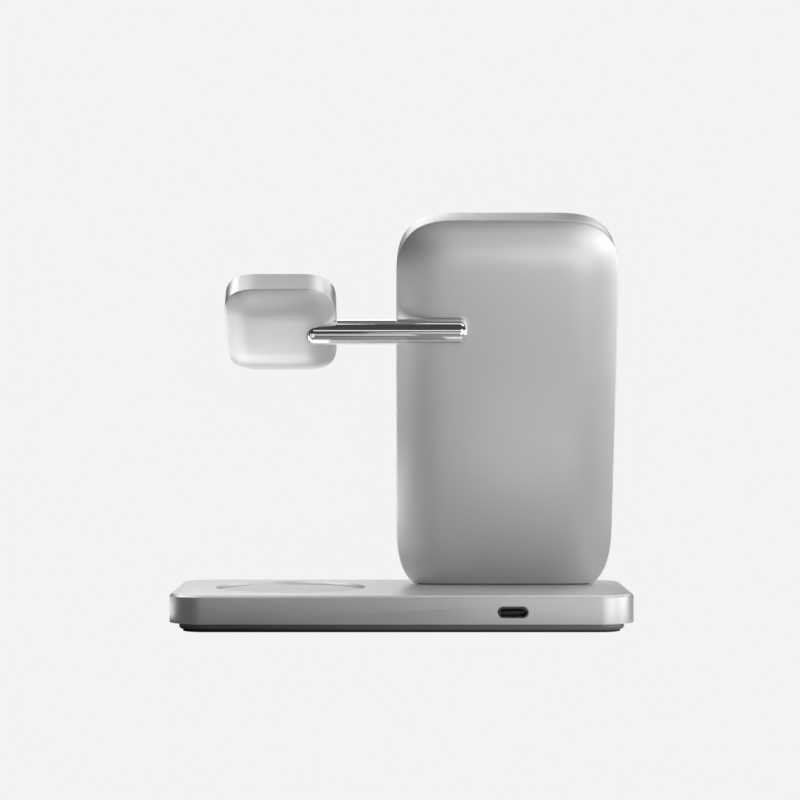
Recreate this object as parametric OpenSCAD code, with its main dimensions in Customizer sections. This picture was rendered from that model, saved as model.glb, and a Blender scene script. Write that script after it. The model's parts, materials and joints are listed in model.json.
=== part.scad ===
// Charging stand for a phone, a watch and a pair of earbuds.
// The phone plate leans back out of a low base, a round arm lies across its back
// and carries the watch block, and the earbuds lie in a shallow dish in the base.
// X runs along the base, the phone faces -Y, and Z = 0 is the underside of the foot.

/* [Base] */
// Width of the base
base_w = 142; // [132:1:170]
// Depth of the base
base_d = 66; // [62:1:90]
// Radius of the base's corners, seen from above
base_corner = 10.8; // [8:0.2:16]
// Height of the metal housing's side
housing_h = 8.8; // [8.4:0.1:12]
// Thickness of the housing's side walls
housing_wall = 2.6; // [1.8:0.1:3.2]
// Thickness of the housing's top
housing_top = 2.8; // [2.4:0.1:3.4]
// Chamfer round the housing's top edge
housing_chamfer = 0.7; // [0.3:0.1:1.2]
// How far the housing's side stands above the table
housing_lift = 2.7; // [2:0.1:4]
// Thickness of the rubber foot under the tray
foot_t = 0.6; // [0.4:0.1:1.2]
// Distance from the tray's side in to the rubber foot
foot_inset = 1.2; // [0.8:0.1:4]
// Thickness of the tray's floor
tray_floor = 1.6; // [1.4:0.1:2]
// Thickness of the tray's rim
tray_rim = 1.2; // [1:0.1:1.6]
// How far the tray's rim reaches up into the housing
tray_step = 1.8; // [1:0.1:2.4]
// Radius along the tray's lower edge
tray_round = 1; // [0.4:0.1:1.4]
// Gap between the tray and the housing's wall
tray_gap = 0.3; // [0.2:0.05:0.6]

/* [Power socket] */
// Distance from the base's end in to the socket
socket_in = 37.4; // [35:0.2:41]
// Height of the socket's centre above the table
socket_z = 6.3; // [6:0.1:6.8]
// Width of the socket's metal shell
socket_w = 9; // [8.6:0.1:9.4]
// Height of the socket's metal shell
socket_h = 3.2; // [3:0.05:3.4]
// Depth of the socket's metal shell
socket_len = 7.4; // [6.5:0.1:9]
// Thickness of the socket's metal shell
socket_t = 0.3; // [0.2:0.05:0.4]
// Gap between the socket's shell and the housing
socket_gap = 0.12; // [0.05:0.01:0.2]
// Depth of the socket's mouth behind the housing's face
socket_set = 0.3; // [0.1:0.05:0.8]

/* [Earbud dish] */
// Diameter of the dish in the base's top
dish_d = 46; // [40:1:50]
// Distance from the base's end in to the dish's middle
dish_in = 36; // [33:0.5:39]
// Place of the dish across the base
dish_y = -1; // [-3:0.5:3]
// Depth of the dish above its soft pad
dish_depth = 0.9; // [0.5:0.1:1.2]
// Thickness of the dish's soft pad
dish_pad_t = 1.1; // [0.8:0.1:1.2]
// Width of the ledge that the pad lies on
dish_ledge = 2; // [1.5:0.1:3]

/* [Phone plate] */
// Width of the plate
plate_w = 68.4; // [64:0.2:74]
// Length of the plate along its slope
plate_l = 123.6; // [115:0.2:135]
// Lean of the plate, away from upright
plate_lean = 18.4; // [14:0.2:22]
// Height of the plate's side wall
plate_wall = 9.4; // [8.8:0.1:12]
// Rise of the plate's pillowed back
plate_bulge = 3.5; // [3:0.1:4.5]
// Width of the back's rounded margin
plate_margin = 16; // [12:0.5:19]
// Reach of the plate's corners across its width
plate_corner = 21; // [19.5:0.5:24]
// Reach of the lower corners along the slope
plate_foot_corner = 26; // [21:0.5:30]
// Thickness of the plate's metal shell
plate_t = 1.8; // [1.2:0.1:2]
// Distance from the base's end in to the plate's middle
plate_in = 38.4; // [37:0.2:41]
// Where the back's edge meets the base's top
plate_foot_y = -12.5; // [-14:0.1:-8]
// How far the plate's outline runs on below the base's top
plate_sink = 3.6; // [3.4:0.1:4.4]
// Seam between the plate and the base's top
foot_seam = 0.3; // [0.2:0.05:0.5]
// Thickness of the plate's front cover
cover_t = 1.8; // [1.4:0.1:2]
// Gap round a front cover
cover_gap = 0.15; // [0.1:0.05:0.3]

/* [Phone charger] */
// Height of the charging pad's middle above the plate's middle
pad_y = 22; // [18:0.5:26]
// Diameter of the soft charging pad
pad_d = 57; // [52:1:58]
// Thickness of the soft charging pad
pad_t = 1.4; // [1:0.1:1.6]
// How far the pad stands proud of the cover
pad_proud = 0.6; // [0.3:0.1:0.8]
// Outer diameter of the magnet ring
magnet_d = 54; // [50:0.5:55]
// Width of the magnet ring
magnet_w = 4; // [3:0.5:5]
// Height of the magnets
magnet_t = 1.2; // [0.8:0.1:1.4]
// Number of magnets in the ring
magnet_n = 16; // [12:2:20]
// Outer diameter of the phone coil
coil_d = 43; // [38:1:44]
// Height of the phone coil
coil_t = 1.2; // [0.8:0.1:1.4]

/* [Arm] */
// Diameter of the arm
arm_d = 7.7; // [7:0.1:8.2]
// Height of the arm's axis above the table
arm_z = 91.4; // [88:0.2:94]
// Rounding of the arm's ends
arm_round = 2.5; // [1.5:0.1:3]
// How far the arm's axis stands out of the plate's back
arm_proud = 1.9; // [1.7:0.1:2.6]
// Length of the arm that lies on the plate
arm_on_plate = 22; // [21:0.5:26]
// Length of the arm inside the watch block
arm_in_block = 9; // [8:0.2:10]
// Gap round the arm in its two seats
arm_gap = 0.12; // [0.08:0.01:0.2]
// Bore of the arm that the watch's lead runs through
arm_bore = 3.2; // [2.6:0.1:3.6]

/* [Watch block] */
// Distance from the plate's side to the block's side
block_gap = 18.5; // [14:0.5:26]
// Width and length of the block
block_w = 34; // [33:0.2:38]
// Tilt of the block, away from upright
block_tilt = 45; // [40:1:50]
// Height of the block's side wall
block_wall = 6.9; // [6.6:0.1:8]
// Rise of the block's pillowed back
block_bulge = 3; // [2.6:0.1:3.6]
// Width of the block's rounded margin
block_margin = 11.5; // [9:0.5:11.5]
// Reach of the block's corners
block_corner = 12; // [12:0.2:14]
// Thickness of the block's shell
block_t = 1.6; // [1.2:0.1:1.8]
// How far the arm's axis stands out of the block's back edge
block_arm_out = 0.8; // [0.5:0.1:1.2]
// Diameter of the watch's charging puck
puck_d = 27; // [25:0.5:28]
// How far the puck stands proud of the block's front
puck_proud = 1.2; // [0.8:0.1:1.6]
// Radius of the puck's hollow face
puck_hollow = 60; // [50:5:90]

/* [Screws and boards] */
// Diameter of the small screws
screw_d = 2; // [1.8:0.1:2.2]
// Diameter of the small screws' heads
screw_head = 3.6; // [3.2:0.1:3.8]
// Height of the small screws' heads
screw_head_t = 0.9; // [0.7:0.1:1]
// Outer diameter of the screw bosses
boss_d = 5; // [4.4:0.2:5.6]
// Diameter of the arm's and the bracket's screws
big_screw_d = 2.5; // [2.2:0.1:2.6]
// Thickness of the circuit boards
board_t = 1.2; // [0.8:0.1:1.4]
// Thickness of the steel bracket inside the plate
bracket_t = 2; // [1.6:0.1:2.4]
// Thickness of the steel weight in the base
ballast_t = 2.4; // [1.6:0.1:3]

/* [Hidden] */
$fn = 48;
eps = 0.01;
slack = 0.1;
soft = 3.1;        // exponent of the soft corners
crown = 2.6;       // exponent of the pillowed margins
aluminium = [0.80, 0.80, 0.80];
chrome = [0.90, 0.90, 0.92];
dark_metal = [0.30, 0.30, 0.31];
rubber = [0.12, 0.12, 0.13];
soft_white = [0.88, 0.88, 0.87];
black_plastic = [0.10, 0.10, 0.11];
steel = [0.62, 0.63, 0.65];
copper = [0.72, 0.42, 0.24];
ferrite = [0.20, 0.19, 0.19];
board_green = [0.08, 0.28, 0.18];

socket_x = socket_in - base_w / 2;
dish_x = base_w / 2 - dish_in;
plate_x = plate_in - base_w / 2;
housing_z = housing_lift;
base_top = housing_lift + housing_h;
inner_top = base_top - housing_top;
tray_inset = housing_wall + tray_gap;
tray_w = base_w - 2 * tray_inset;
tray_d = base_d - 2 * tray_inset;
tray_corner = base_corner - tray_inset;
tray_top = housing_lift + tray_step;
floor_z = foot_t + tray_floor;

dish_floor = base_top - dish_depth;
dish_pad_z = dish_floor - dish_pad_t;
dish_hole_d = dish_d - 2 * dish_ledge;
earbud_coil_d = dish_hole_d - 1;
earbud_coil_t = 1;
earbud_ferrite_t = 0.8;

board_top = socket_z - socket_h / 2;
board_z = board_top - board_t;
board_w = 54;
board_d = 19;
board_x = socket_x + 4;
board_y = tray_d / 2 - tray_rim - 0.3 - board_d / 2;
board_spots = [[-board_w / 2 + 3.5, -board_d / 2 + 3.5],
    [board_w / 2 - 3.5, -board_d / 2 + 3.5], [board_w / 2 - 3.5, board_d / 2 - 3.5]];
socket_back_t = 1;
socket_flare = 0.2;
tongue_set = 1.2;
spring_x = 1.8;
spring_h = 0.25;
tongue_w = 6.6;
tongue_t = 0.7;

plate_mid = plate_l / 2 - plate_sink;
plate_y = plate_foot_y + plate_mid * sin(plate_lean);
plate_z = base_top + plate_mid * cos(plate_lean);
plate_side = plate_x + plate_w / 2;
plate_inner = plate_bulge - 1.1 * plate_t;
cover_back = cover_t - plate_wall;

coil_top = cover_back + coil_t;
ferrite_t = 0.8;
carrier_top = coil_top + ferrite_t;
carrier_t = 1.2;
driver_w = 40;
driver_l = 26;
driver_y = -8;
driver_top = -1.2;
driver_spots = [[-driver_w / 2 + 3, -driver_l / 2 + 3], [driver_w / 2 - 3, -driver_l / 2 + 3],
    [-driver_w / 2 + 3, driver_l / 2 - 3], [driver_w / 2 - 3, driver_l / 2 - 3]];

arm_local_z = plate_bulge + arm_proud;
arm_local_y = (arm_z - plate_z + arm_local_z * sin(plate_lean)) / cos(plate_lean);
arm_y = plate_y + arm_local_y * sin(plate_lean) + arm_local_z * cos(plate_lean);
arm_from = plate_side - arm_on_plate;
block_side = plate_side + block_gap;
block_x = block_side + block_w / 2;
arm_to = block_side + arm_in_block;
arm_len = arm_to - arm_from;
block_y = arm_y - block_arm_out * cos(block_tilt);
block_z = arm_z + block_arm_out * sin(block_tilt);
block_inner = block_bulge - 1.1 * block_t;
block_cover_t = 1.4;
block_cover_back = block_cover_t - block_wall;
puck_h = puck_proud + block_cover_t;
puck_dip = pow(puck_d / 2 - 0.5, 2) / (2 * puck_hollow);
watch_coil_t = 0.8;
watch_coil_hole = puck_d - 14;
watch_ferrite_t = 0.6;
watch_board_w = block_w / 2 - 2;
watch_board_l = block_w / 2 - 3;
pocket_z = block_cover_back + watch_ferrite_t + screw_head_t + slack;
arm_screw_xs = [arm_from + 3.5, arm_from + 11];
lead_hole_d = 2.6;
arm_hole_x = arm_from + 7.2;
block_screw_x = arm_to - 4;
pocket_end = block_w / 2 - arm_in_block - 2;
lead_drop = 0.6;

blade_w = 36;
plate_foot = plate_sink - plate_l / 2;
driver_low = driver_y - driver_l / 2;
blade_gap = 3.2;
blade_l = driver_low - plate_foot - blade_gap;
blade_z = -4.6;
flange_w = 38;
flange_d = 17;
flange_y = plate_foot_y - 5;
flange_spots = [[-flange_w / 2 + 4, -flange_d / 2 + 4], [flange_w / 2 - 4, -flange_d / 2 + 4],
    [-flange_w / 2 + 4, flange_d / 2 - 3.5], [flange_w / 2 - 4, flange_d / 2 - 3.5]];
blade_spots = [[-blade_w / 2 + 6, blade_l - 6], [blade_w / 2 - 6, blade_l - 6]];

lead_d = 1.6;
lead_slot_x = blade_w / 2 + 4;
lead_hole_y = plate_foot_y - 3.6;
lead_low = board_top + lead_d / 2 + slack;
power_route_base = [[plate_x - 17, 15, lead_low], [plate_x - 17, 9, lead_low + 0.3],
    [plate_x - 18, 3, lead_low + 0.5], [plate_x - lead_slot_x, -5, lead_low + 0.5],
    [plate_x - lead_slot_x, lead_hole_y + 3, lead_low + 0.8],
    [plate_x - lead_slot_x, lead_hole_y + 0.2, inner_top - 0.4]];
lead_end_z = driver_top - board_t - lead_d / 2 - slack;
power_route_plate = [[lead_slot_x, plate_foot + 1, -3.8], [lead_slot_x, plate_foot + 8, -4],
    [lead_slot_x, plate_foot + 0.6 * blade_l, -4], [lead_slot_x, plate_foot + blade_l - 3, -3.6],
    [lead_slot_x - 2, driver_low - blade_gap + 0.8, -3.4],
    [lead_slot_x - 7, driver_low - 1.2, lead_end_z], [lead_slot_x - 10, driver_low + 4, lead_end_z]];
watch_hole = plate_x - arm_hole_x;
watch_route_plate = [[-8, driver_y + driver_l / 2 - 3, driver_top + lead_d / 2 + slack],
    [-8, driver_y + driver_l / 2 + 3, -0.5], [-13, arm_local_y - 11, -1.8],
    [watch_hole, arm_local_y - 5.5, -2.4], [watch_hole, arm_local_y - 1.4, -1.9],
    [watch_hole, arm_local_y - 0.2, -0.4], [watch_hole, arm_local_y, 1.4],
    [watch_hole, arm_local_y, arm_local_z - 1.6], [watch_hole - 0.6, arm_local_y, arm_local_z - 0.6]];
watch_route_block = [for (p = [[block_x - arm_hole_x - 4, 0], [block_w / 2 - 2, -lead_drop],
    [pocket_end, -lead_drop], [pocket_end - 2, -lead_drop - 0.3], [pocket_end - 4, -1.9],
    [pocket_end - 5.5, -3.2]]) [p[0], 0, block_arm_out + p[1]]];
tray_spot_x = tray_w / 2 - 6.5;
tray_spot_y = tray_d / 2 - 6.5;
tray_spots = [[-tray_spot_x, -tray_spot_y], [tray_spot_x, -tray_spot_y],
    [-tray_spot_x, tray_spot_y], [tray_spot_x, tray_spot_y], [5, tray_spot_y], [5, -tray_spot_y]];
ballast_w = 44;
ballast_d = 34;
ballast_spots = [[-ballast_w / 2 + 4, 0], [ballast_w / 2 - 4, 0]];

// Corner of a soft outline: a superellipse that reaches ax across and ay along.
function soft_corner(ax, ay, k) = [for (i = [0:k])
    [ax * pow(cos(90 * i / k), 2 / soft), ay * pow(sin(90 * i / k), 2 / soft)]];

// Soft outline of a w by l plate, drawn inwards by s; cx, ct and cb are its corners' reach
// across, along at the top and along at the foot.
function soft_outline(w, l, cx, ct, cb, s, k) =
    let (across = w / 2 - cx, top = l / 2 - ct, low = l / 2 - cb,
        up = soft_corner(cx - s, ct - s, k), down = soft_corner(cx - s, cb - s, k))
    concat([for (i = [0:k]) [across + up[i][0], top + up[i][1]]],
        [for (i = [k:-1:0]) [-across - up[i][0], top + up[i][1]]],
        [for (i = [0:k]) [-across - down[i][0], -low - down[i][1]]],
        [for (i = [k:-1:0]) [across + down[i][0], -low - down[i][1]]]);

// Height of a pillowed back at a distance s in from its edge.
function crown_at(s, margin, bulge) = bulge * (1 - pow(1 - min(s / margin, 1), crown));

// Points of the plate's and of the block's own frames, in the stand's frame.
function plate_pt(p) = [plate_x - p[0],
    plate_y + p[1] * sin(plate_lean) + p[2] * cos(plate_lean),
    plate_z + p[1] * cos(plate_lean) - p[2] * sin(plate_lean)];

function block_pt(p) = [block_x - p[0],
    block_y + p[1] * sin(block_tilt) + p[2] * cos(block_tilt),
    block_z + p[1] * cos(block_tilt) - p[2] * sin(block_tilt)];

function lifted(points, z) = [for (p = points) [p[0], p[1], z]];

// Closed solid through a chain of rings with equally many points.
module loft(rings) {
    n = len(rings[0]);
    last = len(rings) - 1;
    points = [for (r = rings) for (p = r) p];
    sides = [for (i = [0:last - 1]) for (j = [0:n - 1]) for (f = [0:1])
        let (a = i * n + j, b = i * n + (j + 1) % n)
        f == 0 ? [a, b, b + n] : [a, b + n, a + n]];
    polyhedron(points, concat([[for (j = [n - 1:-1:0]) j]], sides,
        [[for (j = [0:n - 1]) last * n + j]]), convexity = 6);
}

// Pillowed shell, open at its front: the back's margin, the side wall and the hollow inside.
module pillow_shell(w, l, cx, ct, cb, wall, bulge, margin, t, k) {
    steps = 9;
    outer = [for (i = [steps:-1:0]) margin * pow(i / steps, 1.3)];
    inner = [for (i = [0:steps - 2]) t + (margin - t) * pow(i / (steps - 2), 1.3)];
    loft(concat(
        [for (s = outer) lifted(soft_outline(w, l, cx, ct, cb, s, k), crown_at(s, margin, bulge))],
        [lifted(soft_outline(w, l, cx, ct, cb, 0, k), -wall)],
        [lifted(soft_outline(w, l, cx, ct, cb, t, k), -wall)],
        [for (s = inner) lifted(soft_outline(w, l, cx, ct, cb, s, k),
            crown_at(s, margin, bulge) - 1.1 * t)]));
}

// Solid with the same outside as a pillowed shell, drawn in by s.
module pillow_solid(w, l, cx, ct, cb, wall, bulge, margin, s, k) {
    steps = 5;
    loft(concat(
        [for (i = [steps:-1:0]) let (q = margin * i / steps)
            lifted(soft_outline(w, l, cx, ct, cb, q * (1 - s / margin) + s, k),
                crown_at(q, margin, bulge) - s)],
        [lifted(soft_outline(w, l, cx, ct, cb, s, k), s - wall)]));
}

// Places its children on the phone plate: x to the right seen from behind, y up the slope,
// z out of the back, with z = 0 at the back's crisp edge.
module on_plate() {
    translate([plate_x, plate_y, plate_z]) rotate([90 + plate_lean, 0, 180]) children();
}

// Places its children on the watch block, in the same way.
module on_block() {
    translate([block_x, block_y, block_z]) rotate([90 + block_tilt, 0, 180]) children();
}

// Rectangle with round corners, flat.
module round_rect(w, d, r) {
    square([w - 2 * r, d], center = true);
    square([w, d - 2 * r], center = true);
    for (x = [-1, 1])
        for (y = [-1, 1])
            translate([x * (w / 2 - r), y * (d / 2 - r)]) circle(r);
}

module round_slab(w, d, r, h) {
    linear_extrude(h) round_rect(w, d, r);
}

// Slab whose edge follows a profile: children(0) is the profile from the corner's centre out.
module edged_slab(w, d, r) {
    for (a = [0:3]) {
        long = a % 2 == 0 ? w - 2 * r : d - 2 * r;
        deep = a % 2 == 0 ? d / 2 - r : w / 2 - r;
        rotate([0, 0, 90 * a]) {
            translate([long / 2, -deep, 0]) rotate([0, 0, -90])
                rotate_extrude(angle = 90) children(0);
            translate([long / 2, -deep, 0]) rotate([90, 0, -90])
                linear_extrude(long) children(0);
        }
    }
}

// Slot with round ends, w wide and h high.
module slot(w, h, depth) {
    for (x = [-1, 1])
        translate([x * (w - h) / 2, 0, 0]) cylinder(d = h, h = depth);
    translate([-(w - h) / 2, -h / 2, 0]) cube([w - h, h, depth]);
}

// Chamfer round the mouth of a slot.
module slot_mouth(w, h, flare) {
    for (x = [-1, 1])
        translate([x * (w - h) / 2, 0, 0]) cylinder(r1 = h / 2 + flare, r2 = h / 2, h = flare);
    translate([-(w - h) / 2, 0, 0]) rotate([90, 0, 90]) linear_extrude(w - h)
        polygon([[-h / 2 - flare, 0], [h / 2 + flare, 0], [h / 2, flare], [-h / 2, flare]]);
}

module screw(d, head_d, head_t, length) {
    translate([0, 0, -head_t]) cylinder(d = head_d, h = head_t);
    cylinder(d = d, h = length);
}

module ring(outer_d, inner_d, h) {
    difference() {
        cylinder(d = outer_d, h = h);
        translate([0, 0, -eps]) cylinder(d = inner_d, h = h + 2 * eps);
    }
}

// Turns its children to point into the base's back face, with z going inwards.
module at_socket(depth) {
    translate([socket_x, base_d / 2 - depth, socket_z]) rotate([90, 0, 0]) children();
}

module base_housing() {
    color(aluminium) difference() {
        union() {
            difference() {
                translate([0, 0, housing_z]) union() {
                    edged_slab(base_w, base_d, base_corner)
                        polygon([[0, 0], [base_corner, 0],
                            [base_corner, housing_h - housing_chamfer],
                            [base_corner - housing_chamfer, housing_h], [0, housing_h]]);
                    translate([base_corner - base_w / 2, base_corner - base_d / 2, 0])
                        cube([base_w - 2 * base_corner, base_d - 2 * base_corner, housing_h]);
                }
                translate([0, 0, housing_z - eps])
                    round_slab(base_w - 2 * housing_wall, base_d - 2 * housing_wall,
                        base_corner - housing_wall, housing_h - housing_top + eps);
            }
            for (p = tray_spots)
                translate([p[0], p[1], floor_z])
                    cylinder(d = boss_d, h = inner_top - floor_z + slack);
        }
        for (p = tray_spots)
            translate([p[0], p[1], floor_z - eps])
                cylinder(d = screw_d + slack, h = inner_top - floor_z);
        translate([dish_x, dish_y, dish_pad_z])
            cylinder(d = dish_d, h = dish_depth + dish_pad_t + eps);
        translate([dish_x, dish_y, inner_top - eps])
            cylinder(d = dish_hole_d, h = housing_top);
        at_socket(-eps) {
            slot(socket_w + 2 * socket_gap, socket_h + 2 * socket_gap, housing_wall + 1);
            slot_mouth(socket_w + 2 * socket_gap, socket_h + 2 * socket_gap, socket_flare);
        }
        on_plate() bracket_blade(0.4);
        lead_hole();
        for (p = flange_spots)
            translate([plate_x + p[0], flange_y + p[1], inner_top - eps])
                cylinder(d = screw_d + slack, h = 2);
    }
}

module base_tray() {
    color(dark_metal) difference() {
        union() {
            difference() {
                translate([0, 0, foot_t]) union() {
                    edged_slab(tray_w, tray_d, tray_corner) tray_profile();
                    translate([tray_corner - tray_w / 2, tray_corner - tray_d / 2, 0])
                        cube([tray_w - 2 * tray_corner, tray_d - 2 * tray_corner,
                            tray_top - foot_t]);
                }
                translate([0, 0, floor_z])
                    round_slab(tray_w - 2 * tray_rim, tray_d - 2 * tray_rim,
                        tray_corner - tray_rim, tray_top);
            }
            for (p = board_spots)
                translate([board_x + p[0], board_y + p[1], floor_z - slack])
                    cylinder(d = boss_d, h = board_z - floor_z + slack);
        }
        for (p = board_spots)
            translate([board_x + p[0], board_y + p[1], foot_t + 0.6])
                cylinder(d = screw_d + slack, h = board_z);
        for (p = ballast_spots)
            translate([dish_x + p[0], dish_y + p[1], foot_t + 0.5])
                cylinder(d = screw_d + slack, h = board_z);
        for (p = tray_spots)
            translate([p[0], p[1], foot_t - eps]) {
                cylinder(d = screw_d + 0.3, h = tray_top);
                cylinder(d = screw_head + 0.3, h = screw_head_t + slack);
            }
    }
}

module tray_profile() {
    square([tray_corner - tray_round, tray_top - foot_t]);
    translate([0, tray_round]) square([tray_corner, tray_top - foot_t - tray_round]);
    translate([tray_corner - tray_round, tray_round]) circle(tray_round);
}

module foot_pad() {
    color(rubber)
        round_slab(tray_w - 2 * foot_inset, tray_d - 2 * foot_inset,
            tray_corner - foot_inset, foot_t);
}

module tray_screws() {
    color(steel) for (p = tray_spots)
        translate([p[0], p[1], foot_t + screw_head_t])
            screw(screw_d, screw_head, screw_head_t, 5.4);
}

module ballast_plate() {
    color(steel) translate([dish_x, dish_y, floor_z]) difference() {
        round_slab(ballast_w, ballast_d, 3, ballast_t);
        for (p = ballast_spots)
            translate([p[0], p[1], -eps]) cylinder(d = screw_d + 0.3, h = ballast_t + 1);
    }
}

module ballast_screws() {
    color(steel) for (p = ballast_spots)
        translate([dish_x + p[0], dish_y + p[1], floor_z + ballast_t]) mirror([0, 0, 1])
            screw(screw_d, screw_head, screw_head_t, ballast_t + 0.9);
}

module main_board() {
    color(board_green) translate([board_x, board_y, board_z]) difference() {
        translate([-board_w / 2, -board_d / 2, 0]) cube([board_w, board_d, board_t]);
        for (p = board_spots)
            translate([p[0], p[1], -eps]) cylinder(d = screw_d + 0.3, h = board_t + 1);
    }
}

module board_parts() {
    part_z = board_top;
    low = inner_top - board_top - 0.5;
    color(black_plastic) {
        translate([board_x - 0.26 * board_w, board_y - 0.16 * board_d, part_z])
            cylinder(d = 7, h = min(low, 3));
        translate([board_x + 0.19 * board_w, board_y - 0.2 * board_d, part_z])
            cube([8, 8, min(low, 2.6)]);
        translate([board_x - 0.1 * board_w, board_y - 0.3 * board_d, part_z]) cube([6, 6, 0.9]);
        translate([board_x + 0.06 * board_w, board_y - 0.36 * board_d, part_z]) cube([4, 4, 0.8]);
        for (i = [0:4])
            translate([board_x + 0.09 * board_w + 2.2 * i, board_y + board_d / 2 - 2.5, part_z])
                cube([1.2, 2, 0.7]);
    }
}

module board_screws() {
    color(steel) for (p = board_spots)
        translate([board_x + p[0], board_y + p[1], board_top]) mirror([0, 0, 1])
            screw(screw_d, screw_head, screw_head_t, board_t + 1.6);
}

module power_socket() {
    color(steel) at_socket(socket_set) difference() {
        slot(socket_w, socket_h, socket_len);
        translate([0, 0, -eps])
            slot(socket_w - 2 * socket_t, socket_h - 2 * socket_t, socket_len - socket_back_t + eps);
    }
    color(steel) at_socket(socket_set) for (x = [-spring_x, spring_x])
        translate([x - 0.6, -socket_h / 2 + socket_t / 2, 0.7])
            cube([1.2, socket_t / 2 + spring_h, 2]);
}

module socket_tongue() {
    tongue_len = socket_len - socket_back_t - tongue_set;
    color(black_plastic) at_socket(socket_set) translate([0, 0, tongue_set]) {
        translate([-tongue_w / 2, -tongue_t / 2, 0]) cube([tongue_w, tongue_t, tongue_len]);
        for (x = [-1.8, 1.8])
            translate([x - 0.6, -tongue_t / 2 - 0.1, 1]) cube([1.2, tongue_t + 0.2, 3]);
    }
}

module earbud_pad() {
    color(soft_white) translate([dish_x, dish_y, dish_pad_z])
        cylinder(d = dish_d - 0.2, h = dish_pad_t);
}

module earbud_coil() {
    color(copper) translate([dish_x, dish_y, dish_pad_z - earbud_coil_t])
        ring(earbud_coil_d, 18, earbud_coil_t);
}

module earbud_ferrite() {
    color(ferrite) translate([dish_x, dish_y, dish_pad_z - earbud_coil_t - earbud_ferrite_t])
        cylinder(d = earbud_coil_d, h = earbud_ferrite_t);
}

// Way for the power lead through the base's top.
module lead_hole() {
    translate([plate_x - lead_slot_x, lead_hole_y, inner_top - eps])
        cylinder(d = 3.4, h = housing_top + 1);
}

// Blade of the bracket, in the plate's own frame, grown by g all round.
module bracket_blade(g) {
    low = plate_foot - housing_top / cos(plate_lean) - 1.6;
    high = plate_foot + blade_l;
    translate([-blade_w / 2 - g, low, blade_z - bracket_t / 2 - g])
        cube([blade_w + 2 * g, high - low, bracket_t + 2 * g]);
}

module plate_bracket() {
    color(steel) difference() {
        union() {
            on_plate() bracket_blade(0);
            translate([plate_x, flange_y, inner_top - bracket_t])
                round_slab(flange_w, flange_d, 2, bracket_t);
        }
        for (p = flange_spots)
            translate([plate_x + p[0], flange_y + p[1], inner_top - bracket_t - 1])
                cylinder(d = screw_d + 0.3, h = bracket_t + 2);
        on_plate() for (p = blade_spots)
            translate([p[0], plate_foot + p[1], blade_z - bracket_t])
                cylinder(d = big_screw_d + 0.3, h = 2 * bracket_t);
        translate([plate_x - 50, flange_y - 30, inner_top - bracket_t - 20])
            cube([100, 60, 20]);
    }
}

module bracket_screws() {
    color(steel) {
        for (p = flange_spots)
            translate([plate_x + p[0], flange_y + p[1], inner_top - bracket_t])
                screw(screw_d, screw_head, screw_head_t, bracket_t + 1.8);
        on_plate() for (p = blade_spots)
            translate([p[0], plate_foot + p[1], blade_z - bracket_t / 2])
                screw(big_screw_d, 4.4, 1.2, bracket_t + 3.6);
    }
}

module foot_gasket() {
    color(rubber) difference() {
        intersection() {
            on_plate() pillow_solid(plate_w, plate_l, plate_corner, plate_corner,
                plate_foot_corner, plate_wall, plate_bulge, plate_margin, 0.5, 8);
            translate([plate_x - plate_w / 2, plate_foot_y - 20, base_top])
                cube([plate_w, 40, foot_seam]);
        }
        translate([plate_x - blade_w / 2 - 1, plate_foot_y - 8.6, base_top - 1])
            cube([blade_w + 2, 7.4, 3]);
        lead_hole();
    }
}

module plate_back_shell() {
    boss_top = plate_inner + 0.4;
    color(aluminium) difference() {
        union() {
            on_plate() {
                pillow_shell(plate_w, plate_l, plate_corner, plate_corner, plate_foot_corner,
                    plate_wall, plate_bulge, plate_margin, plate_t, 14);
                for (p = blade_spots)
                    translate([p[0], plate_foot + p[1], blade_z + bracket_t / 2])
                        cylinder(d = 6, h = boss_top - blade_z - bracket_t / 2);
                for (p = driver_spots)
                    translate([p[0], driver_y + p[1], driver_top])
                        cylinder(d = boss_d, h = boss_top - driver_top);
                for (x = [-1, 1])
                    translate([x * (plate_w / 2 - 9), pad_y - 30, cover_back])
                        cylinder(d = boss_d, h = crown_at(9, plate_margin, plate_bulge)
                            - 0.7 * plate_t - cover_back);
                arm_boss();
            }
        }
        on_plate() {
            for (p = blade_spots)
                translate([p[0], plate_foot + p[1], blade_z])
                    cylinder(d = big_screw_d + slack, h = 5);
            for (p = driver_spots)
                translate([p[0], driver_y + p[1], driver_top - eps])
                    cylinder(d = screw_d + slack, h = 2.4);
        }
        arm_form(arm_gap);
        for (x = arm_screw_xs)
            on_arm(x, plate_lean) cylinder(d = big_screw_d + 0.3, h = arm_local_z + 4);
        on_arm(arm_hole_x, plate_lean) cylinder(d = lead_hole_d, h = 12);
        translate([plate_x - plate_w, plate_foot_y - 40, base_top + foot_seam - 20])
            cube([2 * plate_w, 80, 20]);
    }
}

// Thickened floor under the arm's seat, inside the plate's shell.
module arm_boss() {
    from = plate_x - arm_screw_xs[1] - 4.5;
    to = plate_x - arm_from + 2;
    translate([from, arm_local_y - 6, plate_inner - 1.6])
        cube([to - from, 12, 1.6 + 0.5]);
}

// The arm's outside, grown by g: a round bar whose ends are rounded off.
module arm_form(g) {
    r = arm_d / 2 + g;
    f = arm_round + g;
    length = arm_len + 2 * g;
    translate([arm_from - g, arm_y, arm_z]) rotate([0, 90, 0]) rotate_extrude() {
        square([r - f, length]);
        translate([0, f]) square([r, length - 2 * f]);
        for (y = [f, length - f])
            translate([r - f, y]) intersection() {
                circle(f);
                translate([0, -f]) square([f, 2 * f]);
            }
    }
}

// Stands at x on the arm's axis and points along z into the plate or the block.
module on_arm(x, lean) {
    translate([x, arm_y, arm_z]) rotate([90 + lean, 0, 180]) mirror([0, 0, 1]) children();
}

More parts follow.
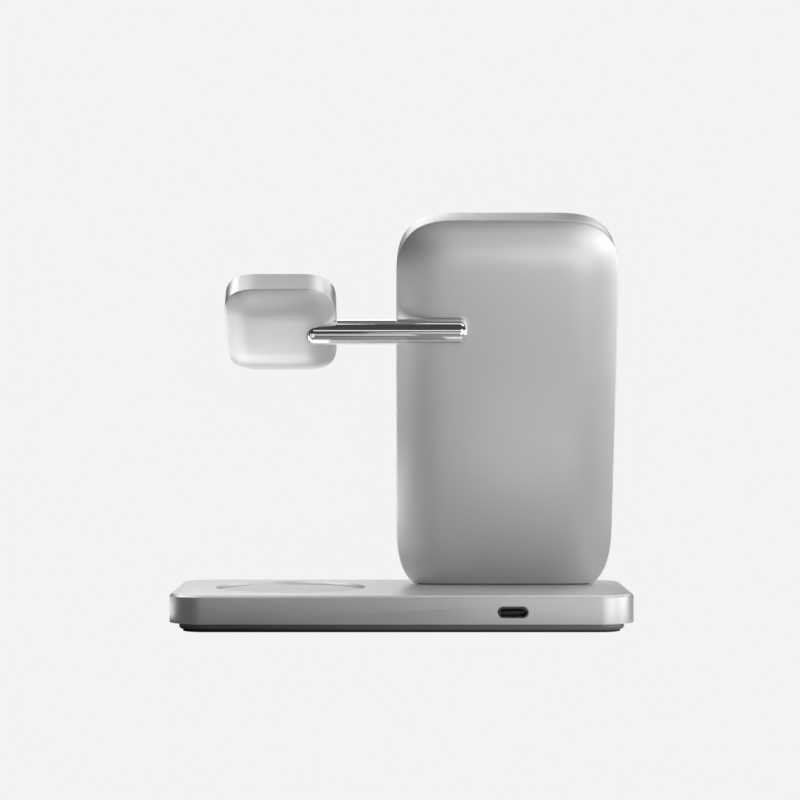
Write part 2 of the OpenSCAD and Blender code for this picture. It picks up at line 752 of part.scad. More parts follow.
module plate_front_cover() {
    color(soft_white) on_plate() difference() {
        translate([0, 0, -plate_wall]) linear_extrude(cover_t)
            polygon(soft_outline(plate_w, plate_l, plate_corner, plate_corner,
                plate_foot_corner, plate_t + cover_gap, 14));
        translate([0, pad_y, -plate_wall - 1]) cylinder(d = pad_d + 0.2, h = 1 + pad_t - pad_proud);
    }
}

module phone_pad() {
    color(soft_white) on_plate() translate([0, pad_y, -plate_wall - pad_proud]) {
        translate([0, 0, 0.4]) cylinder(d = pad_d, h = pad_t - 0.4);
        cylinder(d1 = pad_d - 0.8, d2 = pad_d, h = 0.4);
    }
}

module phone_magnets() {
    span = 360 / magnet_n - 3;
    color(steel) on_plate() translate([0, pad_y, cover_back])
        for (i = [0:magnet_n - 1])
            rotate([0, 0, 360 * i / magnet_n]) rotate_extrude(angle = span)
                translate([magnet_d / 2 - magnet_w, 0]) square([magnet_w, magnet_t]);
}

module magnet_shield() {
    color(steel) on_plate() translate([0, pad_y, cover_back + magnet_t])
        ring(magnet_d, magnet_d - 2 * magnet_w, carrier_top - cover_back - magnet_t);
}

module phone_coil() {
    color(copper) on_plate() translate([0, pad_y, cover_back]) ring(coil_d, 19, coil_t);
}

module phone_ferrite() {
    color(ferrite) on_plate() translate([0, pad_y, coil_top]) cylinder(d = coil_d, h = ferrite_t);
}

module coil_carrier() {
    color(black_plastic) on_plate() translate([0, pad_y, carrier_top])
        difference() {
            cylinder(d = magnet_d, h = carrier_t);
            translate([0, 0, -eps]) cylinder(d = 16, h = carrier_t + 1);
        }
}

module driver_board() {
    color(board_green) on_plate() translate([0, driver_y, driver_top - board_t]) difference() {
        translate([-driver_w / 2, -driver_l / 2, 0]) cube([driver_w, driver_l, board_t]);
        for (p = driver_spots)
            translate([p[0], p[1], -eps]) cylinder(d = screw_d + 0.3, h = board_t + 1);
    }
}

module driver_screws() {
    color(steel) on_plate() for (p = driver_spots)
        translate([p[0], driver_y + p[1], driver_top - board_t])
            screw(screw_d, screw_head, screw_head_t, board_t + 2);
}

module support_arm() {
    color(chrome) difference() {
        arm_form(0);
        translate([arm_hole_x - lead_hole_d / 2, arm_y, arm_z]) rotate([0, 90, 0])
            cylinder(d = arm_bore, h = arm_len);
        for (x = arm_screw_xs)
            on_arm(x, plate_lean) translate([0, 0, arm_d / 2 - 2])
                cylinder(d = big_screw_d + slack, h = 3);
        on_arm(arm_hole_x, plate_lean) cylinder(d = lead_hole_d, h = arm_d);
        on_arm(block_screw_x, block_tilt) translate([0, 0, arm_d / 2 - 1.9])
            cylinder(d = screw_d + slack, h = 3);
    }
}

module arm_screws() {
    head_at = arm_local_z - plate_inner + 1.6;
    color(steel) for (x = arm_screw_xs)
        on_arm(x, plate_lean) translate([0, 0, head_at]) mirror([0, 0, 1])
            screw(big_screw_d, 4.2, 1.2, head_at - arm_d / 2 + 1.8);
}

module block_shell() {
    color(aluminium) difference() {
        union() {
            on_block() {
                pillow_shell(block_w, block_w, block_corner, block_corner, block_corner,
                    block_wall, block_bulge, block_margin, block_t, 12);
                arm_pocket();
            }
        }
        arm_form(arm_gap);
        translate([arm_to, arm_y, arm_z]) on_bore() cylinder(d = lead_hole_d, h = 4);
        on_arm(block_screw_x, block_tilt) cylinder(d = screw_d + 0.3, h = 10);
    }
}

// Points along the arm, just below its axis as the tilted block sees it.
module on_bore() {
    rotate([-block_tilt, 0, 0]) translate([0, -lead_drop, 0]) rotate([0, 90, 0]) children();
}

// Block of metal inside the shell that closes round the arm's end.
module arm_pocket() {
    across = arm_d + 3.2;
    translate([pocket_end, -across / 2, pocket_z]) {
        cube([block_w / 2 - block_t / 2 - pocket_end, across, block_inner - 0.8 - pocket_z]);
        cube([block_w / 2 - 4 - pocket_end, across, block_inner + 0.4 - pocket_z]);
    }
}

module block_screw() {
    reach = block_arm_out - pocket_z - arm_d / 2;
    color(steel) on_arm(block_screw_x, block_tilt) translate([0, 0, block_arm_out - pocket_z])
        mirror([0, 0, 1]) screw(screw_d, screw_head, screw_head_t, reach + 1.8);
}

module block_front_cover() {
    color(soft_white) on_block() difference() {
        translate([0, 0, -block_wall]) linear_extrude(block_cover_t)
            polygon(soft_outline(block_w, block_w, block_corner, block_corner, block_corner,
                block_t + cover_gap, 12));
        translate([0, 0, -block_wall - 1]) cylinder(d = puck_d + 0.2, h = block_wall);
    }
}

module watch_puck() {
    color(soft_white) on_block() translate([0, 0, -block_wall - puck_proud]) difference() {
        cylinder(d = puck_d, h = puck_h);
        rotate_extrude() intersection() {
            translate([0, puck_dip - puck_hollow]) circle(puck_hollow, $fn = 360);
            translate([0, -1]) square([puck_d / 2 - 0.5, puck_dip + 1]);
        }
        translate([0, 0, puck_h - watch_coil_t]) cylinder(d = puck_d - 3, h = watch_coil_t + 1);
    }
}

module watch_coil() {
    color(copper) on_block() translate([0, 0, block_cover_back - watch_coil_t])
        ring(puck_d - 4, watch_coil_hole, watch_coil_t);
}

module watch_magnet() {
    color(steel) on_block() translate([0, 0, block_cover_back - watch_coil_t])
        cylinder(d = watch_coil_hole - 1, h = watch_coil_t);
}

module watch_ferrite() {
    color(ferrite) on_block() translate([0, 0, block_cover_back])
        cylinder(d = puck_d - 1, h = watch_ferrite_t);
}

module watch_board() {
    color(board_green) on_block()
        translate([-block_w / 2 + block_t + 2.5, -watch_board_l / 2, block_cover_back + watch_ferrite_t])
            cube([watch_board_w, watch_board_l, board_t - 0.2]);
}

// Round lead of diameter d along a route of points; u is a direction it never runs in.
module lead(route, d, u, sides = 8) {
    last = len(route) - 1;
    rings = [for (i = [0:last])
        let (t = route[min(i + 1, last)] - route[max(i - 1, 0)],
            a = cross(t, u) / norm(cross(t, u)), b = cross(a, t) / norm(cross(a, t)))
        [for (j = [0:sides - 1]) let (q = 360 * j / sides)
            route[i] + d / 2 * (cos(q) * a + sin(q) * b)]];
    loft(rings);
}

module power_lead() {
    color(rubber) lead(concat(power_route_base, [for (p = power_route_plate) plate_pt(p)]),
        lead_d, [1, 0, 0.2]);
}

module watch_lead() {
    color(rubber) lead(concat([for (p = watch_route_plate) plate_pt(p)],
        [for (p = watch_route_block) block_pt(p)]), lead_d, [0.05, 0.3, -0.9]);
}

base_housing();
base_tray();
foot_pad();
tray_screws();
ballast_plate();
ballast_screws();
main_board();
board_parts();
board_screws();
power_socket();
socket_tongue();
earbud_pad();
earbud_coil();
earbud_ferrite();
plate_bracket();
bracket_screws();
foot_gasket();
plate_back_shell();
plate_front_cover();
phone_pad();
phone_magnets();
magnet_shield();
phone_coil();
phone_ferrite();
coil_carrier();
driver_board();
driver_screws();
support_arm();
arm_screws();
block_screw();
power_lead();
watch_lead();
block_shell();
block_front_cover();
watch_puck();
watch_coil();
watch_magnet();
watch_ferrite();
watch_board();
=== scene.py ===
import json
from math import pi, radians
import bmesh
import bpy
from mathutils import Matrix, Vector


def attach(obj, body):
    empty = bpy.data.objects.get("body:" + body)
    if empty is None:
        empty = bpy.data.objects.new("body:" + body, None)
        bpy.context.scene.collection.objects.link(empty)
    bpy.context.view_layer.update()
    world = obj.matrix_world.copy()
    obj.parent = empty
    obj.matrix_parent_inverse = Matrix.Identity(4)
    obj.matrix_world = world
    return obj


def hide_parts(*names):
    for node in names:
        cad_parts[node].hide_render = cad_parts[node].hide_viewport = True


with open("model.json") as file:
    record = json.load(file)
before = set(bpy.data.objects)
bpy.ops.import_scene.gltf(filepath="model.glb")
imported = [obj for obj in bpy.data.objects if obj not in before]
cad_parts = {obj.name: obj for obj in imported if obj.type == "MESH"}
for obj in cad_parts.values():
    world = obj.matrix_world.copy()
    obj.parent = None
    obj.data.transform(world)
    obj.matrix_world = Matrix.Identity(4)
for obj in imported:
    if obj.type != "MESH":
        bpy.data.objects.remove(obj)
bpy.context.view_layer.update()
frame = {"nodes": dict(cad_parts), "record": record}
scene = bpy.context.scene
mm = 0.001
tiny = 0.01  # in millimetres, for picking points by their place
nearlyHalf = 0.9999  # keeps the two round ends of a slot from meeting
flareReach = 1  # how far the flared mouths and rims open
print("CAD loaded:", len(frame["nodes"]), "nodes")


# small helpers for the modelling below

def freshStart():
    if bpy.context.object and bpy.context.object.mode != "OBJECT":
        bpy.ops.object.mode_set(mode="OBJECT")
    bpy.ops.object.select_all(action="DESELECT")


def editOn():
    bpy.ops.object.mode_set(mode="EDIT")


def editOff():
    bpy.ops.object.mode_set(mode="OBJECT")


def pick(kind, test):  # kind is verts, edges or faces; places are in millimetres
    modes = {"verts": "VERT", "edges": "EDGE", "faces": "FACE"}
    bpy.ops.mesh.select_mode(type=modes[kind])
    bpy.ops.mesh.select_all(action="DESELECT")
    mesh = bpy.context.object.data
    bm = bmesh.from_edit_mesh(mesh)
    for part in getattr(bm, kind):
        if test(part):
            part.select_set(True)
    bm.select_flush_mode()
    bmesh.update_edit_mesh(mesh)


def flatAt(height):  # an edge or face that lies level at this height
    return lambda part: all(abs(v.co.z - height) < tiny for v in part.verts)


def upright(edge):
    a, b = (v.co for v in edge.verts)
    return abs(a.z - b.z) > tiny and (a - b).xy.length < tiny


def startBox(name, low, high):
    freshStart()
    low, high = Vector(low), Vector(high)
    bpy.ops.mesh.primitive_cube_add(size=1, location=(0, 0, 0))
    box = bpy.context.object
    box.name = name
    editOn()
    bpy.ops.mesh.select_all(action="SELECT")
    bpy.ops.transform.resize(value=tuple(high - low))
    bpy.ops.transform.translate(value=tuple((low + high) / 2))
    return box


def startRod(name, radius, length, sides=128):  # stands up from z = 0
    freshStart()
    bpy.ops.mesh.primitive_cylinder_add(vertices=sides, radius=radius, depth=length,
                                        location=(0, 0, 0))
    rod = bpy.context.object
    rod.name = name
    editOn()
    bpy.ops.mesh.select_all(action="SELECT")
    bpy.ops.transform.translate(value=(0, 0, length / 2))
    return rod


def startSlot(name, width, height, depth, steps=12):  # round-ended slot, stands up from z = 0
    slot = startBox(name, (-width / 2, -height / 2, 0), (width / 2, height / 2, depth))
    pick("edges", upright)
    bpy.ops.mesh.bevel(offset=height / 2 * nearlyHalf, segments=steps, affect="EDGES")
    return slot


def softEdge(test, size, steps=3):
    pick("edges", test)
    bpy.ops.mesh.bevel(offset=size, segments=steps, affect="EDGES")


def settle(piece, place=None):  # out of edit mode, from millimetres to its place in metres
    editOff()
    freshStart()
    piece.select_set(True)
    bpy.context.view_layer.objects.active = piece
    piece.matrix_world = Matrix.Scale(mm, 4) @ (place or Matrix())
    bpy.ops.object.transform_apply(location=True, rotation=True, scale=True)
    return piece


def cutAway(piece, cutters):
    for cutter in cutters:
        cut = piece.modifiers.new("cut", "BOOLEAN")
        cut.operation = "DIFFERENCE"
        cut.solver = "EXACT"
        cut.object = cutter
        bpy.context.view_layer.objects.active = piece
        bpy.ops.object.modifier_apply(modifier="cut")
        bpy.data.objects.remove(cutter, do_unlink=True)


def finishPiece(piece, material, stands, angle=30):
    freshStart()
    piece.select_set(True)
    bpy.context.view_layer.objects.active = piece
    bpy.ops.object.shade_smooth_by_angle(angle=radians(angle))
    piece.data.materials.clear()
    piece.data.materials.append(material)
    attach(piece, "root")
    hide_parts(*stands)


# finishes

grainLook = {"fineDetail": 3, "broadDetail": 2, "broadBy": 45, "roughSpread": 0.14,
             "tintFrom": 0.3, "tintTo": 0.7, "bump": 0.5}


def newFinish(name, colour, metallic, roughness, grain, grainDepth, mottle):
    finish = bpy.data.materials.new(name)
    finish.use_nodes = True
    nodes, links = finish.node_tree.nodes, finish.node_tree.links
    shader = nodes["Principled BSDF"]
    shader.inputs["Metallic"].default_value = metallic
    place = nodes.new("ShaderNodeTexCoord")
    fine = nodes.new("ShaderNodeTexNoise")  # fine grain, size in grains per metre
    fine.inputs["Scale"].default_value = grain
    fine.inputs["Detail"].default_value = grainLook["fineDetail"]
    broad = nodes.new("ShaderNodeTexNoise")  # slow variation over the surface
    broad.inputs["Scale"].default_value = grain / grainLook["broadBy"]
    broad.inputs["Detail"].default_value = grainLook["broadDetail"]
    for noise in (fine, broad):
        links.new(place.outputs["Object"], noise.inputs["Vector"])
    rough = nodes.new("ShaderNodeMapRange")
    rough.inputs["To Min"].default_value = roughness * (1 - grainLook["roughSpread"])
    rough.inputs["To Max"].default_value = roughness * (1 + grainLook["roughSpread"])
    links.new(broad.outputs["Fac"], rough.inputs["Value"])
    links.new(rough.outputs["Result"], shader.inputs["Roughness"])
    tint = nodes.new("ShaderNodeMapRange")
    tint.inputs["From Min"].default_value = grainLook["tintFrom"]
    tint.inputs["From Max"].default_value = grainLook["tintTo"]
    tint.inputs["To Min"].default_value = 1 - mottle
    tint.inputs["To Max"].default_value = 1 + mottle
    links.new(fine.outputs["Fac"], tint.inputs["Value"])
    shade = nodes.new("ShaderNodeVectorMath")
    shade.operation = "SCALE"
    shade.inputs[0].default_value = colour
    links.new(tint.outputs["Result"], shade.inputs["Scale"])
    links.new(shade.outputs["Vector"], shader.inputs["Base Color"])
    bump = nodes.new("ShaderNodeBump")
    bump.inputs["Distance"].default_value = grainDepth * mm
    bump.inputs["Strength"].default_value = grainLook["bump"]
    links.new(fine.outputs["Fac"], bump.inputs["Height"])
    links.new(bump.outputs["Normal"], shader.inputs["Normal"])
    return finish


satinAluminium = newFinish("satinAluminium", (0.77, 0.77, 0.765), 0.86, 0.42, 5200, 0.010, 0.025)
polishedChrome = newFinish("polishedChrome", (0.90, 0.90, 0.91), 1.0, 0.07, 900, 0.0005, 0.01)
trayCoat = newFinish("trayCoat", (0.30, 0.30, 0.305), 0.75, 0.45, 4200, 0.012, 0.06)
blackRubber = newFinish("blackRubber", (0.022, 0.022, 0.023), 0.0, 0.72, 3000, 0.02, 0.10)
softWhite = newFinish("softWhite", (0.87, 0.87, 0.86), 0.0, 0.55, 3600, 0.012, 0.02)
blackPlastic = newFinish("blackPlastic", (0.02, 0.02, 0.021), 0.0, 0.45, 3000, 0.01, 0.08)
bareSteel = newFinish("bareSteel", (0.62, 0.62, 0.63), 1.0, 0.24, 2600, 0.004, 0.03)
darkSteel = newFinish("darkSteel", (0.16, 0.16, 0.165), 1.0, 0.35, 2600, 0.004, 0.05)
copperWire = newFinish("copperWire", (0.78, 0.36, 0.19), 1.0, 0.32, 2600, 0.01, 0.06)
greyFerrite = newFinish("greyFerrite", (0.06, 0.058, 0.058), 0.0, 0.6, 2600, 0.02, 0.10)
greenBoard = newFinish("greenBoard", (0.02, 0.13, 0.06), 0.0, 0.4, 1800, 0.006, 0.08)
finishOf = {
    "satin_aluminium": satinAluminium, "polished_chrome": polishedChrome, "dark_tray": trayCoat,
    "black_rubber": blackRubber, "soft_white": softWhite, "black_plastic": blackPlastic,
    "bare_steel": bareSteel, "copper_wire": copperWire, "grey_ferrite": greyFerrite,
    "green_board": greenBoard}
for part in frame["record"]["subparts"]:  # CAD nodes that stay get the finish of their slot
    node = frame["nodes"][part["node"]]
    node.data.materials.clear()
    node.data.materials.append(finishOf[part["material_slot"]])
print("finishes made:", len(finishOf) + 1)


# base: housing, tray and the pad in its dish

base = {"width": 142, "depth": 66, "corner": 10.8, "low": 2.7, "high": 11.5, "chamfer": 0.7,
        "wall": 2.6, "top": 2.8, "rimEdge": 0.12, "cornerSteps": 28}
dish = {"x": 35, "y": -1, "across": 46, "hole": 42, "depth": 0.9, "padThick": 1.1,
        "lip": 0.6, "padGap": 0.1, "padEdge": 0.25, "boreLong": 8, "boreDown": 5}
socket = {"x": -33.6, "z": 6.3, "width": 9, "height": 3.2, "depth": 7.4, "metal": 0.3,
          "gap": 0.12, "flare": 0.2, "set": 0.3, "mouthDeep": 5,
          "back": 1, "rimEdge": 0.06, "springX": 1.8, "springWide": 0.62,
          "springLong": 2.6, "springAt": 1.8, "springFlat": 0.7}


def onSocket(depth):  # z runs into the base's back face
    return Matrix.Translation((socket["x"], base["depth"] / 2 - depth, socket["z"])) \
        @ Matrix.Rotation(pi / 2, 4, "X")


def slabBody(name, width, depth, corner, low, high):
    body = startBox(name, (-width / 2, -depth / 2, low), (width / 2, depth / 2, high))
    pick("edges", upright)
    bpy.ops.mesh.bevel(offset=corner, segments=base["cornerSteps"], affect="EDGES")
    return body


housing = slabBody("baseHousing", base["width"], base["depth"], base["corner"],
                   base["low"], base["high"])
softEdge(flatAt(base["high"]), base["chamfer"], 1)
rims = (base["high"], base["high"] - base["chamfer"])
softEdge(lambda e: any(flatAt(h)(e) for h in rims) and len(e.link_faces) == 2
         and e.calc_face_angle(0) > 0.3, base["rimEdge"], 2)
pick("faces", flatAt(base["low"]))
bpy.ops.mesh.inset(thickness=base["wall"])
bpy.ops.mesh.extrude_region_move(TRANSFORM_OT_translate={
    "value": (0, 0, base["high"] - base["top"] - base["low"])})
settle(housing)

wide = socket["width"] + 2 * socket["gap"]
tall = socket["height"] + 2 * socket["gap"]
mouth = startSlot("mouth", wide, tall, socket["mouthDeep"])
pick("faces", flatAt(0))
bpy.ops.mesh.extrude_region_move(TRANSFORM_OT_translate={"value": (0, 0, -flareReach)})
bpy.ops.transform.resize(value=(1 + 2 * flareReach / wide, 1 + 2 * flareReach / tall, 1))  # at 45 degrees
settle(mouth, onSocket(socket["flare"]))
through = startRod("through", dish["hole"] / 2, dish["boreLong"])
settle(through, Matrix.Translation((dish["x"], dish["y"], base["high"] - dish["boreDown"])))
straight = dish["depth"] + dish["padThick"] - dish["lip"]
recess = startRod("recess", dish["across"] / 2, straight)
pick("faces", flatAt(straight))
bpy.ops.mesh.extrude_region_move(TRANSFORM_OT_translate={"value": (0, 0, flareReach)})
opened = 1 + 2 * flareReach / dish["across"]  # the dish's rim opens at 45 degrees
bpy.ops.transform.resize(value=(opened, opened, 1))
settle(recess, Matrix.Translation((dish["x"], dish["y"],
                                   base["high"] - dish["depth"] - dish["padThick"])))
cutAway(housing, [mouth, through, recess])
finishPiece(housing, satinAluminium, ["base_housing"])

trayShape = {"inset": 2.9, "low": 0.6, "high": 4.5, "round": 1.0, "rim": 1.2, "floor": 2.2}
tray = slabBody("baseTray", base["width"] - 2 * trayShape["inset"],
                base["depth"] - 2 * trayShape["inset"], base["corner"] - trayShape["inset"],
                trayShape["low"], trayShape["high"])
softEdge(flatAt(trayShape["low"]), trayShape["round"], 8)
pick("faces", flatAt(trayShape["high"]))
bpy.ops.mesh.inset(thickness=trayShape["rim"])
bpy.ops.mesh.extrude_region_move(TRANSFORM_OT_translate={
    "value": (0, 0, trayShape["floor"] - trayShape["high"])})
settle(tray)
finishPiece(tray, trayCoat, ["base_tray"])

pad = startRod("earbudPad", dish["across"] / 2 - dish["padGap"], dish["padThick"])
softEdge(flatAt(dish["padThick"]), dish["padEdge"])
settle(pad, Matrix.Translation((dish["x"], dish["y"],
                                base["high"] - dish["depth"] - dish["padThick"])))
finishPiece(pad, softWhite, ["earbud_pad"])
print("base done")


# power socket: shell and tongue

shell = startSlot("powerSocket", socket["width"], socket["height"], socket["depth"], 16)
pick("faces", flatAt(0))
bpy.ops.mesh.inset(thickness=socket["metal"])
bpy.ops.mesh.extrude_region_move(TRANSFORM_OT_translate={"value": (0, 0, socket["depth"] - socket["back"])})
softEdge(flatAt(0), socket["rimEdge"], 2)
inside = socket["metal"] - socket["height"] / 2
for side in (-1, 1):  # the two springs that hold the plug, on the lower inner wall
    bpy.ops.mesh.select_all(action="DESELECT")
    bpy.ops.mesh.primitive_cylinder_add(vertices=24, radius=socket["springWide"] / 2,
                                        depth=socket["springLong"],
                                        location=(side * socket["springX"], inside, socket["springAt"]))
    bpy.ops.transform.resize(value=(1, socket["springFlat"], 1))
settle(shell, onSocket(socket["set"]))
finishPiece(shell, darkSteel, ["power_socket"])

tongueShape = {"width": 6.6, "thick": 0.7, "set": 1.2, "long": 5.2, "edge": 0.12}
tongue = startBox("socketTongue", (-tongueShape["width"] / 2, -tongueShape["thick"] / 2, 0),
                  (tongueShape["width"] / 2, tongueShape["thick"] / 2, tongueShape["long"]))
softEdge(flatAt(0), tongueShape["edge"])
settle(tongue, onSocket(socket["set"] + tongueShape["set"]))
finishPiece(tongue, blackPlastic, ["socket_tongue"])
print("socket done")


# pillowed shells of the phone plate and the watch block

plate = {"across": 68.4, "along": 123.6, "corner": 21, "footCorner": 26, "wall": 9.4,
         "bulge": 3.5, "margin": 16, "metal": 1.8, "lean": 18.4, "cuts": 18,
         "place": (-32.6, 5.8702, 66.7271)}
block = {"across": 34, "along": 34, "corner": 12, "footCorner": 12, "wall": 6.9,
         "bulge": 3, "margin": 11.5, "metal": 1.6, "lean": 45, "cuts": 0,
         "place": (37.1, 19.2045, 91.9657)}
softShell = {"profile": 0.6394, "cornerSteps": 24, "nearlyAll": 0.99999, "longSide": 4,
             "rings": 16, "ringsTowardsEdge": 1.25, "crown": 2.6, "rimEdge": 0.22}
# the profile gives the bevel a superellipse corner of exponent 3.1


def onSlope(shape):  # x right seen from behind, y up the slope, z out of the back
    turn = Matrix.Rotation(pi, 4, "Z") @ Matrix.Rotation(radians(90 + shape["lean"]), 4, "X")
    return Matrix.Translation(shape["place"]) @ turn


def softFace(name, shape, inset=0.0):  # flat face with the soft outline
    freshStart()
    bpy.ops.mesh.primitive_plane_add(size=1, location=(0, 0, 0))
    face = bpy.context.object
    face.name = name
    editOn()
    bpy.ops.mesh.select_all(action="SELECT")
    bpy.ops.transform.resize(value=(shape["across"], shape["along"], 1))
    bpy.ops.mesh.bevel(offset=shape["corner"] * softShell["nearlyAll"],
                       segments=softShell["cornerSteps"], profile=softShell["profile"],
                       affect="VERTICES")
    turnAt = -shape["along"] / 2 + shape["corner"] + tiny
    pick("verts", lambda v: v.co.y < turnAt)
    bpy.ops.transform.resize(value=(1, shape["footCorner"] / shape["corner"], 1),
                             center_override=(0, -shape["along"] / 2, 0))
    if shape["cuts"]:  # shorter steps along the straight sides
        pick("edges", lambda e: e.calc_length() > softShell["longSide"])
        bpy.ops.mesh.subdivide(number_cuts=shape["cuts"])
    bpy.ops.mesh.select_all(action="SELECT")
    if inset:
        drawIn(shape, 0, inset)
    return face


def drawIn(shape, before, after):  # draws the picked ring in towards its corners' centres
    bm = bmesh.from_edit_mesh(bpy.context.object.data)
    bm.verts.ensure_lookup_table()
    ring = {v.index for v in bm.verts if v.select}
    sideX = shape["across"] / 2 - shape["corner"]
    topY = shape["along"] / 2 - shape["corner"]
    lowY = shape["along"] / 2 - shape["footCorner"]
    narrow = (shape["corner"] - after) / (shape["corner"] - before)
    lower = (shape["footCorner"] - after) / (shape["footCorner"] - before)
    steps = [(lambda p: p.x > sideX - tiny, (narrow, 1, 1), (sideX, 0, 0)),
             (lambda p: p.x < -sideX + tiny, (narrow, 1, 1), (-sideX, 0, 0)),
             (lambda p: p.y > topY - tiny, (1, narrow, 1), (0, topY, 0)),
             (lambda p: p.y < -lowY + tiny, (1, lower, 1), (0, -lowY, 0))]
    for test, value, centre in steps:
        pick("verts", lambda v: v.index in ring and test(v.co))
        bpy.ops.transform.resize(value=value, center_override=centre)
    pick("verts", lambda v: v.index in ring)


def crownAt(shape, inFromEdge):
    return shape["bulge"] * (1 - (1 - min(inFromEdge / shape["margin"], 1)) ** softShell["crown"])


def pillowBody(name, shape, inset=0.0):  # inset for the hollow inside the metal
    body = softFace(name, shape, inset)
    before = inset
    rings = softShell["rings"]
    for i in range(1, rings + 1):  # the crowned margin, ring by ring up to the flat middle
        after = inset + (shape["margin"] - inset) * (i / rings) ** softShell["ringsTowardsEdge"]
        rise = crownAt(shape, after) - crownAt(shape, before)
        bpy.ops.mesh.select_mode(type="FACE")
        bpy.ops.mesh.extrude_region_move(TRANSFORM_OT_translate={"value": (0, 0, rise)})
        bpy.ops.mesh.select_mode(type="VERT")
        drawIn(shape, before, after)
        before = after
    pick("faces", flatAt(0))
    bpy.ops.mesh.extrude_region_move(TRANSFORM_OT_translate={
        "value": (0, 0, -shape["wall"] - inset)})
    if not inset:
        softEdge(flatAt(0), softShell["rimEdge"])
    bpy.ops.mesh.select_all(action="SELECT")
    bpy.ops.mesh.normals_make_consistent(inside=False)
    if inset:
        bpy.ops.transform.translate(value=(0, 0, crownAt(shape, inset) - inset))
    return settle(body, onSlope(shape))


def pillowShell(name, shape):
    body = pillowBody(name, shape)
    cutAway(body, [pillowBody("hollow", shape, shape["metal"])])
    return body


arm = {"across": 7.7, "from": -20.4, "to": 29.1, "y": 19.7701, "z": 91.4, "round": 2.5,
       "roundSteps": 12, "gap": 0.12}


def armBar(name, grow=0.0, sides=128):
    radius = arm["across"] / 2 + grow
    length = arm["to"] - arm["from"] + 2 * grow
    bar = startRod(name, radius, length, sides)
    for end in (0, length):
        softEdge(flatAt(end), arm["round"] + grow, arm["roundSteps"])
    place = Matrix.Translation((arm["from"] - grow, arm["y"], arm["z"]))
    return settle(bar, place @ Matrix.Rotation(pi / 2, 4, "Y"))


footRoom = {"low": (-90, -60, -10), "high": (40, 60, base["high"] + 0.3)}


def footCutter():  # takes off what would reach below the seam on the base
    return settle(startBox("footCut", footRoom["low"], footRoom["high"]))


plateShell = pillowShell("plateBackShell", plate)
cutAway(plateShell, [footCutter(), armBar("seatCut", arm["gap"])])
finishPiece(plateShell, satinAluminium, ["plate_back_shell"])
blockShell = pillowShell("blockShell", block)
cutAway(blockShell, [armBar("seatCut", arm["gap"])])
finishPiece(blockShell, satinAluminium, ["block_shell"])
armPiece = armBar("supportArm", 0, 160)
finishPiece(armPiece, polishedChrome, ["support_arm"])
print("shells and arm done")


# fronts: covers, phone pad, watch puck

cover = {"thick": 1.8, "edge": 0.3, "gap": 0.15, "padY": 22, "padAcross": 57, "padThick": 1.4,
         "padProud": 0.6, "padGap": 0.1, "padEdge": 0.4, "cutDeep": 3,
         "grooveIn": 2.2, "grooveWide": 0.5, "grooveDeep": 0.25}
puckShape = {"across": 27, "proud": 1.2, "coverThick": 1.4, "coverEdge": 0.2, "hollow": 60,
             "rim": 0.5, "edge": 0.35, "rings": 10, "gap": 0.1, "cutLong": 6, "cutBelow": 2}


def coverBody(name, shape, thick, edge):  # closes a shell's open front
    body = softFace(name, shape, shape["metal"] + cover["gap"])
    bpy.ops.mesh.extrude_region_move(TRANSFORM_OT_translate={"value": (0, 0, thick)})
    bpy.ops.mesh.select_all(action="SELECT")
    bpy.ops.mesh.normals_make_consistent(inside=False)
    bpy.ops.transform.translate(value=(0, 0, -shape["wall"]))
    softEdge(flatAt(-shape["wall"]), edge)
    return settle(body, onSlope(shape))


frontCover = coverBody("plateFrontCover", plate, cover["thick"], cover["edge"])
padCut = startRod("padCut", cover["padAcross"] / 2 + cover["padGap"], cover["cutDeep"])
padFloor = cover["padThick"] - cover["padProud"]
settle(padCut, onSlope(plate) @ Matrix.Translation(
    (0, cover["padY"], padFloor - cover["cutDeep"] - plate["wall"])))
cutAway(frontCover, [padCut, footCutter()])
finishPiece(frontCover, softWhite, ["plate_front_cover"])

phonePad = startRod("phonePad", cover["padAcross"] / 2, cover["padThick"])
softEdge(flatAt(0), cover["padEdge"], 4)
pick("faces", flatAt(0))
bpy.ops.mesh.inset(thickness=cover["grooveIn"])
for down in (0, -cover["grooveDeep"], cover["grooveDeep"]):  # fine groove round the pad's face
    bpy.ops.mesh.inset(thickness=cover["grooveWide"], depth=down)
settle(phonePad, onSlope(plate) @ Matrix.Translation(
    (0, cover["padY"], -plate["wall"] - cover["padProud"])))
finishPiece(phonePad, softWhite, ["phone_pad"])

blockCover = coverBody("blockFrontCover", block, puckShape["coverThick"], puckShape["coverEdge"])
puckCut = startRod("puckCut", puckShape["across"] / 2 + puckShape["gap"], puckShape["cutLong"])
settle(puckCut, onSlope(block) @ Matrix.Translation((0, 0, -block["wall"] - puckShape["cutBelow"])))
cutAway(blockCover, [puckCut])
finishPiece(blockCover, softWhite, ["block_front_cover"])

puck = startRod("watchPuck", puckShape["across"] / 2, puckShape["proud"] + puckShape["coverThick"])
softEdge(flatAt(0), puckShape["edge"], 4)
pick("faces", flatAt(0))
bpy.ops.mesh.inset(thickness=puckShape["rim"])
inner = puckShape["across"] / 2 - puckShape["edge"] - puckShape["rim"]
depth = 0
dip = inner ** 2 / (2 * puckShape["hollow"])
rings = puckShape["rings"]
for i in range(rings - 1, 0, -1):  # hollow face, ring by ring
    down = dip * (1 - (i / rings) ** 2)
    bpy.ops.mesh.inset(thickness=inner / rings, depth=depth - down)
    depth = down
settle(puck, onSlope(block) @ Matrix.Translation((0, 0, -block["wall"] - puckShape["proud"])))
finishPiece(puck, softWhite, ["watch_puck"], 20)
print("fronts done")


# studio: floor, light, camera

